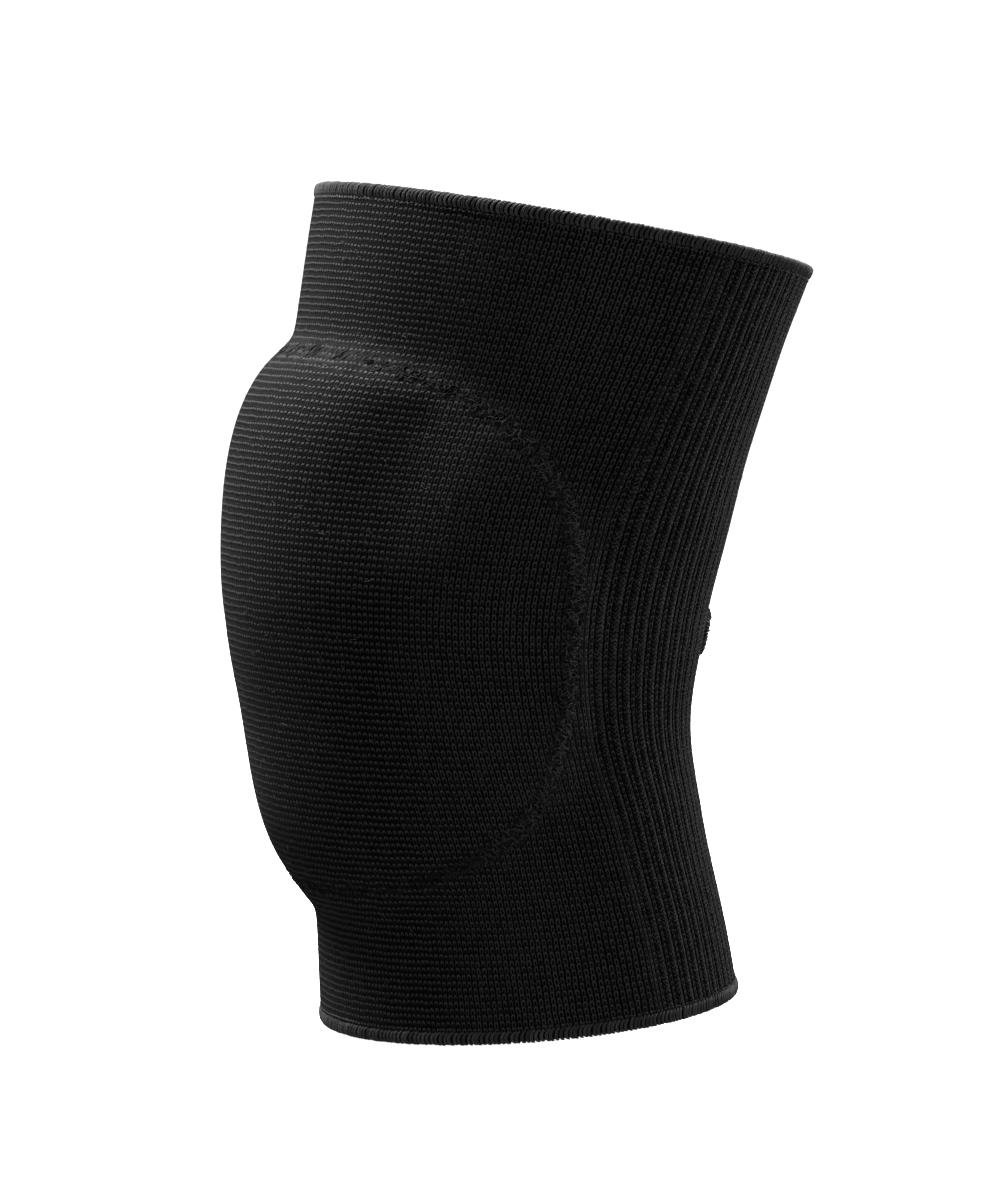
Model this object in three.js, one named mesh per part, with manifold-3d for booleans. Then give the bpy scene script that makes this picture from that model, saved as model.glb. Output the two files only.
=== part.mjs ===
// Volleyball knee pad: a knitted tube that bulges over a foam cushion, with overlocked rims.
// Millimetres. The leg runs up along +Z, the cushion faces -Y and the middle of the knee is
// the origin. Each point of the tube is found by its turn round the leg (0 at the front, a
// quarter turn at the +X side, half a turn at the back) and its height along the leg.

import * as THREE from 'three';
import Module from 'manifold-3d';

const wasm = await Module();
wasm.setup();
const DEGREE = Math.PI / 180;

// Tube
const TUBE_HEIGHT = 231; // rim to rim along the leg
const KNEE_DEPTH = 123.4; // front to back at the knee, under the cushion
const KNEE_WIDTH = 114.8; // side to side at the knee
const WALL = 2; // knitted cloth
const TOP_FALL = 10.6; // degrees, the top rim falls towards the back
const BOTTOM_RISE = 3.9; // degrees, the bottom rim climbs towards the back
const CLEARANCE = 0.3; // between pieces that lie against each other

// Bulge of the cloth over the cushion
const BULGE_TOP = 72.5; // above the middle of the knee
const BULGE_BOTTOM = 83; // below the middle of the knee
const BULGE_TURN = 95; // degrees from the front to its side edge
const BULGE_RISE = 18; // how far it stands off the leg
const CUSHION_INSET = 8; // from the edge of the bulge in to the edge of the foam

// Seam round the cushion
const SEAM_TOP = 69;
const SEAM_BOTTOM = 74;
const SEAM_TURN = 84; // degrees
const SEAM_WIDTH = 4;
const SEAM_PROUD = 0.5; // stands above the cloth
const SEAM_SUNK = 0.4; // lies in the cloth

// Ribs down the back
const RIB_COUNT = 36;
const RIB_DEPTH = 0.8;
const RIB_FADE = 8; // degrees over which the ribs grow to their full depth

// Rims
const HEM_HEIGHT = 4.4;
const HEM_THICKNESS = 3.2;
const HEM_PROUD = 0.7; // stands outside the cloth

// Opening behind the knee
const HOLE_WIDTH = 54; // measured along the cloth, over its rim
const HOLE_HEIGHT = 20;
const HOLE_BELOW = 3; // its middle lies below the middle of the knee
const HOLE_RIM = 2.8; // width of its overlocked rim
const HOLE_RIM_PROUD = 1.2;

// Sections of the tube from the bottom rim (up 0) to the top rim (up 1): how far the middle
// lies behind the knee's, as a share of KNEE_DEPTH, how large it is beside the knee, and where
// the ribs begin, as a share of the half turn from the front to the back.
const SECTIONS = [
  { up: 0.0, back: 0.091, size: 0.997, ribs: 0.564 },
  { up: 0.125, back: 0.063, size: 0.963, ribs: 0.553 },
  { up: 0.25, back: 0.028, size: 0.932, ribs: 0.535 },
  { up: 0.375, back: 0.002, size: 0.929, ribs: 0.498 },
  { up: 0.5, back: 0.0, size: 1.0, ribs: 0.475 },
  { up: 0.625, back: 0.03, size: 1.05, ribs: 0.485 },
  { up: 0.75, back: 0.07, size: 1.092, ribs: 0.52 },
  { up: 0.875, back: 0.122, size: 1.136, ribs: 0.547 },
  { up: 1.0, back: 0.185, size: 1.175, ribs: 0.561 },
];

// How square the outlines of the bulge and of the seam are, how steep the bulge is at its ends
// and its sides, how soft its crease is and how much fuller its upper half is than its lower.
const OUTLINE_POWER = 2.35;
const SEAM_POWER = 2.65;
const END_STEEPNESS = 5;
const SIDE_STEEPNESS = 2.3;
const CREASE = 0.06;
const CROWN = 0.1;
const SEAM_TAPER = 0.02; // the seam is this much narrower at its top than at its middle

// Fineness of the faces
const FRONT_COLUMNS = 22;
const INNER_COLUMNS = 40;
const SEAM_STEPS = 56;
const HEM_STEPS = 48;
const HOLE_STEPS = 32;

// A smooth curve through one column of the section table.
function sectionValue(up, column) {
  const last = SECTIONS.length - 1;
  const at = THREE.MathUtils.clamp(up, SECTIONS[0].up, SECTIONS[last].up);
  let low = 0;
  while (low < last - 1 && SECTIONS[low + 1].up < at) low += 1;
  const slopeAt = (index) => {
    const before = SECTIONS[Math.max(index - 1, 0)];
    const after = SECTIONS[Math.min(index + 1, last)];
    return (after[column] - before[column]) / (after.up - before.up);
  };
  const from = SECTIONS[low];
  const to = SECTIONS[low + 1];
  const gap = to.up - from.up;
  const t = (at - from.up) / gap;
  const ease = t * t * (3 - 2 * t);
  const leave = t * (1 - t) * (1 - t) * gap * slopeAt(low);
  const arrive = t * t * (t - 1) * gap * slopeAt(low + 1);
  return from[column] * (1 - ease) + to[column] * ease + leave + arrive;
}

// A point of one oval section of the leg, pushed outwards in the section's own plane.
function sectionPoint(turn, height, push) {
  const up = height / TUBE_HEIGHT + 0.5;
  const size = sectionValue(up, 'size');
  const halfDepth = (size * KNEE_DEPTH) / 2;
  const halfWidth = (size * KNEE_WIDTH) / 2;
  const outward = new THREE.Vector2(Math.sin(turn) / halfWidth, -Math.cos(turn) / halfDepth);
  outward.normalize();
  const x = halfWidth * Math.sin(turn) + push * outward.x;
  const middle = sectionValue(up, 'back') * KNEE_DEPTH;
  const y = middle - halfDepth * Math.cos(turn) + push * outward.y;
  const bottomSlope = Math.tan(BOTTOM_RISE * DEGREE);
  const topSlope = -Math.tan(TOP_FALL * DEGREE);
  const slope = THREE.MathUtils.lerp(bottomSlope, topSlope, up);
  return new THREE.Vector3(x, y, height + slope * y);
}

// How far the cushion lifts the cloth: steep at its top and bottom, soft at its sides.
function bulgeAt(turn, height) {
  const across = turn / (BULGE_TURN * DEGREE);
  const middle = (BULGE_TOP - BULGE_BOTTOM) / 2;
  const along = (height - middle) / ((BULGE_TOP + BULGE_BOTTOM) / 2);
  const power = OUTLINE_POWER;
  const reach = (Math.abs(across) ** power + Math.abs(along) ** power) ** (1 / power);
  const upright = (along * along) / Math.max(across * across + along * along, 1e-9);
  const steepness = THREE.MathUtils.lerp(SIDE_STEEPNESS, END_STEEPNESS, upright);
  const lift = 1 - reach ** steepness;
  const dome = (lift + Math.hypot(lift, CREASE)) / 2;
  return BULGE_RISE * dome * (1 + CROWN * THREE.MathUtils.clamp(along, -1, 1));
}

// A turn round the leg, brought to within half a turn of the front.
function fromFront(turn) {
  return turn - 2 * Math.PI * Math.round(turn / (2 * Math.PI));
}

// A point of the cloth's outer face, moved out (or in, below zero) square to that face.
function clothPoint(turn, height, out) {
  const face = (a, h) => sectionPoint(a, h, bulgeAt(fromFront(a), h));
  const step = 0.25;
  const round = step / KNEE_WIDTH;
  const sideways = face(turn + round, height).sub(face(turn - round, height));
  const upwards = face(turn, height + step).sub(face(turn, height - step));
  const normal = sideways.cross(upwards).normalize();
  return face(turn, height).addScaledVector(normal, out);
}

// The turn at which the ribs begin at a height.
function ribStart(height) {
  return sectionValue(height / TUBE_HEIGHT + 0.5, 'ribs') * Math.PI;
}

// Evenly spaced values from one number up to, but not with, another.
function spaced(from, to, count) {
  return Array.from({ length: count }, (_, index) => from + ((to - from) * index) / count);
}

// A closed body from a grid of points: rows of the same length, each joined round on itself.
// The ends are closed on their middles, or joined to each other when the body is a ring.
function gridBody(rows, isRing) {
  const points = rows.flat();
  const width = rows[0].length;
  const faces = [];
  const bands = isRing ? rows.length : rows.length - 1;
  for (let row = 0; row < bands; row += 1) {
    const here = row * width;
    const next = ((row + 1) % rows.length) * width;
    for (let column = 0; column < width; column += 1) {
      const beside = (column + 1) % width;
      faces.push(here + column, here + beside, next + beside);
      faces.push(here + column, next + beside, next + column);
    }
  }
  if (!isRing) {
    for (const end of [0, rows.length - 1]) {
      const middle = new THREE.Vector3();
      rows[end].forEach((point) => middle.addScaledVector(point, 1 / width));
      points.push(middle);
      for (let column = 0; column < width; column += 1) {
        const edge = [end * width + column, end * width + ((column + 1) % width)];
        if (end === 0) edge.reverse();
        faces.push(edge[0], edge[1], points.length - 1);
      }
    }
  }
  const vertProperties = new Float32Array(points.flatMap((point) => point.toArray()));
  const triVerts = new Uint32Array(faces);
  return new wasm.Manifold(new wasm.Mesh({ numProp: 3, vertProperties, triVerts }));
}

// Heights of the rows of faces: close together where the bulge begins and ends.
function rowHeights(bottom, top) {
  const marks = [
    { height: bottom, steps: 2 },
    { height: -BULGE_BOTTOM - 7, steps: 4 },
    { height: -BULGE_BOTTOM + 18, steps: 7 },
    { height: BULGE_TOP - 18, steps: 4 },
    { height: BULGE_TOP + 7, steps: 2 },
    { height: top, steps: 0 },
  ];
  const heights = [];
  for (let index = 0; index < marks.length - 1; index += 1) {
    const from = THREE.MathUtils.clamp(marks[index].height, bottom, top);
    const to = THREE.MathUtils.clamp(marks[index + 1].height, bottom, top);
    if (to - from > 0.5) heights.push(...spaced(from, to, marks[index].steps));
  }
  heights.push(top);
  return heights;
}

// A row of the cloth's outer face: even over the front, then a point on each rib and one in
// each groove. The ribs follow the leg, so they swing back above and below the cushion.
function outerRow(height) {
  const start = ribStart(height);
  const front = spaced(-start, start, FRONT_COLUMNS);
  const back = spaced(start, 2 * Math.PI - start, 2 * RIB_COUNT);
  const plain = front.map((turn) => clothPoint(turn, height, 0));
  const ribbed = back.map((turn, index) => {
    const beyond = (Math.abs(fromFront(turn)) - start) / (RIB_FADE * DEGREE);
    const depth = RIB_DEPTH * (index % 2) * THREE.MathUtils.smoothstep(beyond, 0, 1);
    return clothPoint(turn, height, -depth);
  });
  return plain.concat(ribbed);
}

// The cloth's inner face as a closed body, let in by a distance; smooth all round.
function innerBody(inset, bottom, top) {
  const turns = spaced(-Math.PI, Math.PI, INNER_COLUMNS);
  const rows = rowHeights(bottom, top);
  return gridBody(rows.map((height) => turns.map((turn) => clothPoint(turn, height, -inset))));
}

// The leg under the cushion as a closed body, as far in as the inner face of the cloth.
function legBody(bottom, top) {
  const turns = spaced(-Math.PI, Math.PI, INNER_COLUMNS);
  const rows = rowHeights(bottom, top);
  return gridBody(rows.map((height) => turns.map((turn) => sectionPoint(turn, height, -WALL))));
}

// A rounded outline on the leg, as a turn and a height for each step round it. A share below
// one gives a smaller outline round the same middle.
function outline({ middleTurn, turn, middle, half, power, taper }) {
  return (step, share = 1) => {
    const across = Math.cos(step);
    const along = Math.sin(step);
    const rise = Math.sign(along) * Math.abs(along) ** (2 / power);
    const width = turn * (1 - taper * rise);
    const aside = Math.sign(across) * Math.abs(across) ** (2 / power) * width;
    return { turn: middleTurn + share * aside, height: middle + share * half * rise };
  };
}

// A body swept round an outline on the cloth. Each point of the profile lies across the
// outline (away from its middle) and out from the cloth.
function sweptBand(curve, steps, profile) {
  const radius = KNEE_WIDTH / 2;
  const rows = spaced(0, 2 * Math.PI, steps).map((step) => {
    const here = curve(step);
    const before = curve(step - 0.02);
    const after = curve(step + 0.02);
    const run = new THREE.Vector2((after.turn - before.turn) * radius, after.height - before.height);
    run.normalize();
    return profile.map(({ across, out }) => {
      const turn = here.turn + (run.y * across) / radius;
      return clothPoint(turn, here.height - run.x * across, out);
    });
  });
  return gridBody(rows, true);
}

// A body that fills an outline from one distance off the leg to another. Its two faces follow
// the leg in rings, given as shares of the outline.
function outlineBody(curve, steps, from, to, shares) {
  const ring = (share, push) =>
    spaced(0, 2 * Math.PI, steps).map((step) => {
      const { turn, height } = curve(step, share);
      return sectionPoint(turn, height, push);
    });
  const inner = shares.map((share) => ring(share, from));
  const outer = shares.map((share) => ring(share, to)).reverse();
  return gridBody(inner.concat(outer));
}

// A six-sided rounded profile, flat on its two long sides.
function rollProfile(width, low, high) {
  const middle = (low + high) / 2;
  return [
    { across: width / 2, out: middle },
    { across: width / 4, out: low },
    { across: -width / 4, out: low },
    { across: -width / 2, out: middle },
    { across: -width / 4, out: high },
    { across: width / 4, out: high },
  ];
}

// A rim of the tube: a rounded roll between two heights, half outside the cloth's face.
function hemBody(bottom, top) {
  const middle = (bottom + top) / 2;
  const outside = HEM_PROUD;
  const inside = HEM_PROUD - HEM_THICKNESS;
  const soften = HEM_THICKNESS / 4;
  const profile = [
    { push: outside, height: middle },
    { push: outside - soften / 2, height: top - soften },
    { push: outside - 2 * soften, height: top },
    { push: inside, height: top - 2 * soften },
    { push: inside, height: bottom + 2 * soften },
    { push: outside - 2 * soften, height: bottom },
    { push: outside - soften / 2, height: bottom + soften },
  ];
  const turns = spaced(-Math.PI, Math.PI, HEM_STEPS);
  const rows = profile.map(({ push, height }) => turns.map((turn) => sectionPoint(turn, height, push)));
  return gridBody(rows, true);
}

// Heights where the cloth ends and the rims begin
const hemTop = TUBE_HEIGHT / 2;
const clothTop = hemTop - HEM_HEIGHT - CLEARANCE;
const cutBeyond = HEM_HEIGHT + CLEARANCE;

// Outlines of the foam, the seam and the opening
const bulgeHalf = (BULGE_TOP + BULGE_BOTTOM) / 2;
const insetShare = 1 - CUSHION_INSET / bulgeHalf;
const foamOutline = outline({
  middleTurn: 0,
  turn: BULGE_TURN * DEGREE * insetShare,
  middle: (BULGE_TOP - BULGE_BOTTOM) / 2,
  half: bulgeHalf * insetShare,
  power: OUTLINE_POWER,
  taper: 0,
});
const seamOutline = outline({
  middleTurn: 0,
  turn: SEAM_TURN * DEGREE,
  middle: (SEAM_TOP - SEAM_BOTTOM) / 2,
  half: (SEAM_TOP + SEAM_BOTTOM) / 2,
  power: SEAM_POWER,
  taper: SEAM_TAPER,
});
const holeOutline = (inset) =>
  outline({
    middleTurn: Math.PI,
    turn: (HOLE_WIDTH / 2 - inset) / (KNEE_DEPTH / 2),
    middle: -HOLE_BELOW,
    half: HOLE_HEIGHT / 2 - inset,
    power: 2.2,
    taper: 0,
  });

// Seam: a low band that follows the cushion, let into the cloth
const seamBand = (grow) =>
  sweptBand(
    seamOutline,
    SEAM_STEPS,
    rollProfile(SEAM_WIDTH + 2 * grow, -SEAM_SUNK - grow, SEAM_PROUD + grow),
  );
const padSeam = seamBand(0);

// Opening: its rim fills the edge of the hole that is cut through the cloth
const holeEdge = sweptBand(
  holeOutline(HOLE_RIM / 2),
  HOLE_STEPS,
  rollProfile(HOLE_RIM, -WALL - 0.3, HOLE_RIM_PROUD),
);
const holeCut = outlineBody(holeOutline(-CLEARANCE), HOLE_STEPS, -4 * WALL, 4 * WALL, [0.4, 1]);

// Sleeve: the knitted tube, hollow right through
const sleeve = gridBody(rowHeights(-clothTop, clothTop).map(outerRow))
  .subtract(innerBody(WALL, -clothTop - cutBeyond, clothTop + cutBeyond))
  .subtract(seamBand(CLEARANCE))
  .subtract(holeCut);

// Cushion: what fills the bulge between the cloth and the leg
const foamPad = innerBody(WALL + CLEARANCE, -clothTop, clothTop)
  .intersect(outlineBody(foamOutline, SEAM_STEPS, -4 * WALL, 2 * BULGE_RISE, [0.1, 0.4, 0.7, 1]))
  .subtract(legBody(-clothTop, clothTop));

// Rims of the tube
const topHem = hemBody(clothTop + CLEARANCE, hemTop);
const bottomHem = hemBody(-hemTop, -clothTop - CLEARANCE);

// The finished pieces with their own materials
const PIECES = [
  { name: 'sleeve', body: sleeve, colour: 0x1c1c1d, roughness: 0.92 },
  { name: 'foam_pad', body: foamPad, colour: 0x2a2a2b, roughness: 0.95 },
  { name: 'pad_seam', body: padSeam, colour: 0x232324, roughness: 0.95 },
  { name: 'top_hem', body: topHem, colour: 0x262627, roughness: 0.9 },
  { name: 'bottom_hem', body: bottomHem, colour: 0x262627, roughness: 0.9 },
  { name: 'knee_hole_edge', body: holeEdge, colour: 0x262627, roughness: 0.9 },
];

const kneePad = new THREE.Group();
kneePad.name = 'knee_pad';
for (const { name, body, colour, roughness } of PIECES) {
  const solid = body.getMesh();
  const geometry = new THREE.BufferGeometry();
  geometry.setAttribute('position', new THREE.BufferAttribute(solid.vertProperties, 3));
  geometry.setIndex(new THREE.BufferAttribute(solid.triVerts, 1));
  geometry.computeVertexNormals();
  const material = new THREE.MeshStandardMaterial({ color: colour, roughness, metalness: 0 });
  const mesh = new THREE.Mesh(geometry, material);
  mesh.name = name;
  kneePad.add(mesh);
}

export default kneePad;
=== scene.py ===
# %% [markdown]
# # A volleyball knee pad
#
# The real pad is one knitted tube. Its front is plain knit, stretched over a crowned foam
# cushion, and its back is knitted in ribs, so that it can stretch when the knee bends. The two
# rims and the opening behind the knee are overlocked: a sewing machine wraps thread round the
# raw edge of the cloth. This lesson builds each of these from a formula, in metres.

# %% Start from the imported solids
import bmesh
import bpy
import numpy as np
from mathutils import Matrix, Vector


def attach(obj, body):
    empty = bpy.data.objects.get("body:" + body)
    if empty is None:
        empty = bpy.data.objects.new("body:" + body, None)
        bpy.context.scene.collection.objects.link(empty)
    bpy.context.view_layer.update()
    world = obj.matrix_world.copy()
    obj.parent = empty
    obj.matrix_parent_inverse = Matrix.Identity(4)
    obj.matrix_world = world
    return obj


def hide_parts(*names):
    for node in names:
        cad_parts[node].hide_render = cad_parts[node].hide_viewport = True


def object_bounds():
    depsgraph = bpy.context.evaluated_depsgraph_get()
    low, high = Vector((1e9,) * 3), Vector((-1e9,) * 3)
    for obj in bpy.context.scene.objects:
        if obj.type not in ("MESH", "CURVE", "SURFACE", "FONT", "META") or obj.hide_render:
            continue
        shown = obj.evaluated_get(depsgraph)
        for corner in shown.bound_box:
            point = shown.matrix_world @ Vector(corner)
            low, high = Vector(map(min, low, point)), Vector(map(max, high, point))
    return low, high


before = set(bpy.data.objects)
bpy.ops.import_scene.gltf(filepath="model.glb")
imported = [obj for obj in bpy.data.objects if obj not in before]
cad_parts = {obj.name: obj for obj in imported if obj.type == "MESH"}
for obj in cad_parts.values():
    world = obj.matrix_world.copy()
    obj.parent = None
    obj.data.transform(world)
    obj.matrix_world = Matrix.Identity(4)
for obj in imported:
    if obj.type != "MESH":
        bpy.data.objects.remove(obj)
cad_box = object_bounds()
MM = 0.001
rng = np.random.default_rng(7)
print("solids:", sorted(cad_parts))

# %% [markdown]
# ## The form of the leg
#
# Every piece follows the same form: ovals stacked along the leg. A short table gives each
# oval's middle and size, and a smooth curve runs through it. A point is found by its turn round
# the leg (0 at the front, a quarter turn at the +X side) and its height, so that seams, ribs
# and rims can all be drawn on the form as if it were unrolled.

# %% Sizes of the tube, in millimetres, and its sections
TUBE_HEIGHT = 231
KNEE_DEPTH = 123.4
KNEE_WIDTH = 114.8
WALL = 2
TOP_SLOPE = -np.tan(np.radians(10.6))
BOTTOM_SLOPE = np.tan(np.radians(3.9))
SECTION_UP = np.linspace(0, 1, 9)
SECTION_BACK = np.array([0.091, 0.063, 0.028, 0.002, 0.0, 0.03, 0.07, 0.122, 0.185])
SECTION_SIZE = np.array([0.997, 0.963, 0.932, 0.929, 1.0, 1.05, 1.092, 1.136, 1.175])
SECTION_RIBS = np.array([0.564, 0.553, 0.535, 0.498, 0.475, 0.485, 0.52, 0.547, 0.561])


def through(values, up):
    """A cubic curve through the table's values: each stretch leaves and arrives at the slope
    between the neighbours of its two ends."""
    up = np.clip(up, 0, 1)
    gap = SECTION_UP[1]
    slope = np.gradient(values, gap)
    low = np.minimum((up / gap).astype(int), len(values) - 2)
    t = up / gap - low
    ease = t * t * (3 - 2 * t)
    leave = t * (1 - t) ** 2 * gap * slope[low]
    arrive = t * t * (t - 1) * gap * slope[low + 1]
    return values[low] * (1 - ease) + values[low + 1] * ease + leave + arrive


def section_point(turn, height, push):
    """A point of one oval, pushed outwards in the oval's own tilted plane, in millimetres."""
    turn, height, push = np.broadcast_arrays(turn, height, push)
    up = height / TUBE_HEIGHT + 0.5
    size = through(SECTION_SIZE, up)
    deep, wide = size * KNEE_DEPTH / 2, size * KNEE_WIDTH / 2
    out_x, out_y = np.sin(turn) / wide, -np.cos(turn) / deep
    length = np.hypot(out_x, out_y)
    x = wide * np.sin(turn) + push * out_x / length
    y = through(SECTION_BACK, up) * KNEE_DEPTH - deep * np.cos(turn) + push * out_y / length
    slope = BOTTOM_SLOPE + (TOP_SLOPE - BOTTOM_SLOPE) * up
    return np.stack([x, y, height + slope * y], axis=-1)


# %% [markdown]
# ## The bulge over the cushion
#
# The cushion lifts the cloth in a dome. Its outline is a rounded square in turn and height.
# The dome rises fast at its top and bottom, where the foam has a full edge, and slowly at its
# sides, where the foam is thinned so that it wraps the knee.

# %% Dome formula
BULGE_TOP, BULGE_BOTTOM, BULGE_TURN, BULGE_RISE = 72.5, 83, np.radians(95), 18
SEAM_TOP, SEAM_BOTTOM, SEAM_TURN, SEAM_TAPER = 69, 74, np.radians(84), 0.02
OUTLINE_POWER, SEAM_POWER = 2.35, 2.65
CREASE_SOFTNESS = 0.16
HOLLOW_TURN, HOLLOW_SPREAD = np.radians(42), np.radians(15)
HOLLOW_HEIGHT, HOLLOW_ABOVE, HOLLOW_BELOW = 52, 12, 34
HOLLOW_SHARE = 0.42  # of the lift


def from_front(turn):
    """The same turn, brought to within half a turn of the front."""
    return turn - 2 * np.pi * np.round(turn / (2 * np.pi))


def bulge(turn, height):
    """Lift of the cloth: one minus the reach to the outline, to a power that is high up and
    down the leg and low towards the sides. A square root softens the crease at the edge, and
    a soft hollow lies inside each upper corner, where the stitching draws the foam down."""
    across = from_front(turn) / BULGE_TURN
    along = (height - (BULGE_TOP - BULGE_BOTTOM) / 2) / ((BULGE_TOP + BULGE_BOTTOM) / 2)
    reach = (abs(across) ** OUTLINE_POWER + abs(along) ** OUTLINE_POWER) ** (1 / OUTLINE_POWER)
    upright = along**2 / np.maximum(across**2 + along**2, 1e-9)
    lift = 1 - reach ** (2.3 + 2.7 * upright)
    dome = (lift + np.hypot(lift, CREASE_SOFTNESS)) / 2
    aside = (abs(from_front(turn)) - HOLLOW_TURN) / HOLLOW_SPREAD
    above = height - HOLLOW_HEIGHT
    above = above / np.where(above > 0, HOLLOW_ABOVE, HOLLOW_BELOW)
    hollow = 1 - HOLLOW_SHARE * np.exp(-aside**2 - above**2)
    return BULGE_RISE * dome * hollow * (1 + 0.1 * np.clip(along, -1, 1))


def cloth_point(turn, height, out):
    """A point of the cloth's outer face, moved out square to it. The direction comes from the
    cross product of two short steps along the face."""
    def face(a, h):
        return section_point(a, h, bulge(a, h))
    step = 0.25
    around = face(turn + step / KNEE_WIDTH, height) - face(turn - step / KNEE_WIDTH, height)
    upward = face(turn, height + step) - face(turn, height - step)
    normal = np.cross(around, upward)
    normal /= np.linalg.norm(normal, axis=-1, keepdims=True)
    return face(turn, height) + normal * np.asarray(out)[..., None]


print("lift at the front:", round(float(bulge(0, 0)), 1), "mm")

# %% [markdown]
# ## Turning arrays into meshes
#
# Each piece is computed as whole arrays of points. One helper makes the mesh object from points
# and faces, and a second makes many short threads at once: it carries a small ring of points
# along each path.

# %% Mesh helpers
def add_piece(name, points_mm, faces, material, smooth=True, tone=None):
    """A mesh object at the origin, from points in millimetres and lists of faces. A tone per
    point, from 0 to 1, tells the material how dark or pale the yarn is there; on some pieces it
    also holds painted shade."""
    mesh = bpy.data.meshes.new(name)
    mesh.from_pydata((np.asarray(points_mm).reshape(-1, 3) * MM).tolist(), [], faces)
    mesh.materials.append(material)
    mesh.polygons.foreach_set("use_smooth", np.full(len(mesh.polygons), smooth))
    mesh.update()
    if tone is not None:
        tone = np.stack([tone, tone, tone, np.ones(len(tone))], -1)
        attribute = mesh.color_attributes.new("tone", "FLOAT_COLOR", "POINT")
        attribute.data.foreach_set("color", tone.ravel())
    piece = bpy.data.objects.new(name, mesh)
    bpy.context.collection.objects.link(piece)
    print(name, "faces:", len(mesh.polygons))
    return piece


def grid_faces(rows, columns, wrap_rows=False, wrap_columns=True, start=0):
    """Four-sided faces of a grid whose points are numbered row by row."""
    row = np.arange(rows if wrap_rows else rows - 1)[:, None]
    column = np.arange(columns if wrap_columns else columns - 1)[None, :]
    beside, above = (column + 1) % columns, (row + 1) % rows
    corners = [row * columns + column, row * columns + beside,
               above * columns + beside, above * columns + column]
    corners = [np.broadcast_to(c, (row.shape[0], column.shape[1])) for c in corners]
    return (np.stack(corners, -1).reshape(-1, 4) + start).tolist()


def threads(paths, radius, sides, closed, start=0):
    """Points and faces of many threads. Each path is carried by a ring: its direction comes from
    its neighbours, and two directions square to that place the ring's points."""
    if closed:
        along = np.roll(paths, -1, 1) - np.roll(paths, 1, 1)
    else:
        along = np.gradient(paths, axis=1)
    along /= np.linalg.norm(along, axis=-1, keepdims=True)
    side = np.cross(along, np.broadcast_to([0.31, 0.17, 0.93], along.shape))
    if closed:
        middle = paths.mean(1, keepdims=True)
        side = np.cross(along, paths - middle)
    side /= np.linalg.norm(side, axis=-1, keepdims=True)
    up = np.cross(side, along)
    angle = np.linspace(0, 2 * np.pi, sides, endpoint=False)
    radius = np.broadcast_to(np.asarray(radius, float), paths.shape[:2])[..., None, None]
    ring = side[:, :, None] * np.cos(angle)[:, None] + up[:, :, None] * np.sin(angle)[:, None]
    points = paths[:, :, None] + ring * radius
    count, length = paths.shape[:2]
    one = np.array(grid_faces(length, sides, wrap_rows=closed))[:, ::-1]
    faces = (one[None] + (np.arange(count) * length * sides)[:, None, None]).reshape(-1, 4)
    faces = (faces + start).tolist()
    if not closed:
        first = np.arange(count)[:, None] * length * sides + np.arange(sides) + start
        faces += first.tolist() + (first[:, ::-1] + (length - 1) * sides).tolist()
    return points.reshape(-1, 3), faces


# %% [markdown]
# ## Materials
#
# All of the pad is black nylon and elastic yarn, textured so that it scatters light: nearly no
# mirror highlight, and a soft sheen where the fibres catch the light at the edges. What changes
# from piece to piece is how the yarn lies, so each finish draws its own stitch.

# %% Colours and a helper for shader nodes
def linear(hex_colour):
    """An sRGB hex colour as the linear colour that the shaders need."""
    srgb = np.array([int(hex_colour[i:i + 2], 16) for i in (0, 2, 4)]) / 255
    return (*np.where(srgb <= 0.04045, srgb / 12.92, ((srgb + 0.055) / 1.055) ** 2.4), 1)


def node(tree, kind, inputs=(), **settings):
    """Adds a shader node. Each input is a value, another node (its first output) or a socket."""
    new = tree.nodes.new("ShaderNode" + kind)
    for name, value in settings.items():
        setattr(new, name, value)
    for key, value in dict(inputs).items():
        if isinstance(value, bpy.types.Node):
            value = value.outputs[0]
        if isinstance(value, bpy.types.NodeSocket):
            tree.links.new(value, new.inputs[key])
        else:
            new.inputs[key].default_value = value
    return new


def new_material(name):
    """An empty node material with its output; returns the material, its tree and the output."""
    material = bpy.data.materials.new(name)
    material.use_nodes = True
    material.node_tree.nodes.clear()
    return material, material.node_tree, node(material.node_tree, "OutputMaterial")


# %% [markdown]
# ### Knitted cloth
#
# Plain knit is rows of small loops. Each loop is an arch: two legs and a round top, with a dark
# gap inside that is painted shade. The cloth's UV map counts stitches: U counts the columns and V
# the rows, so the fraction of each is the place inside one stitch. On the ribs the loops show as
# chains of slanted strands instead, and an attribute named rib fades from one to the other; it also
# carries the depth of the grooves, which are painted darker as shade. A second one, named lie,
# tells how far a point is turned to the side, and how near it is to the seam and to the ribs.

# %% Knit material
COURSE = 1.85  # mm between rows of stitches


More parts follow.
